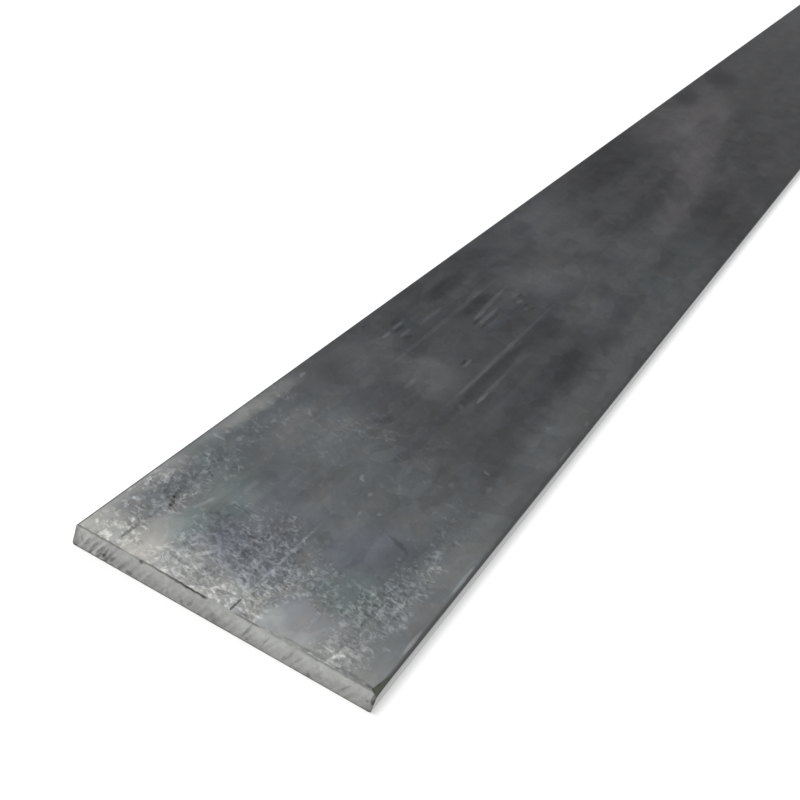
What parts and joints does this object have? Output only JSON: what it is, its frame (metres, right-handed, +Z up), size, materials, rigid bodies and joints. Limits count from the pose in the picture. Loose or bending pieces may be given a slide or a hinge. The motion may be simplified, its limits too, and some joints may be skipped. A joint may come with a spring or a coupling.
{
  "type": "metal flat bar",
  "caption": "Long thin aluminium strip of plain rectangular section with slightly rounded long edges and sawn ends, stock for cutting, drilling, bending and fixing down flat.",
  "frame": {"origin": "middle of the underside, the broad face that the bar lies on", "axes": "+X along the length, away from the near end with the knocked corner; +Y across the width; +Z up through the thickness"},
  "size_m": [1, 0.04, 0.003],
  "materials": {
    "mill_aluminium": "mill finish as extruded, scuffed and smudged, bare sawn ends"
  },
  "bodies": {
    "root": {"flat_bar": "mill_aluminium"}
  },
  "joints": []
}
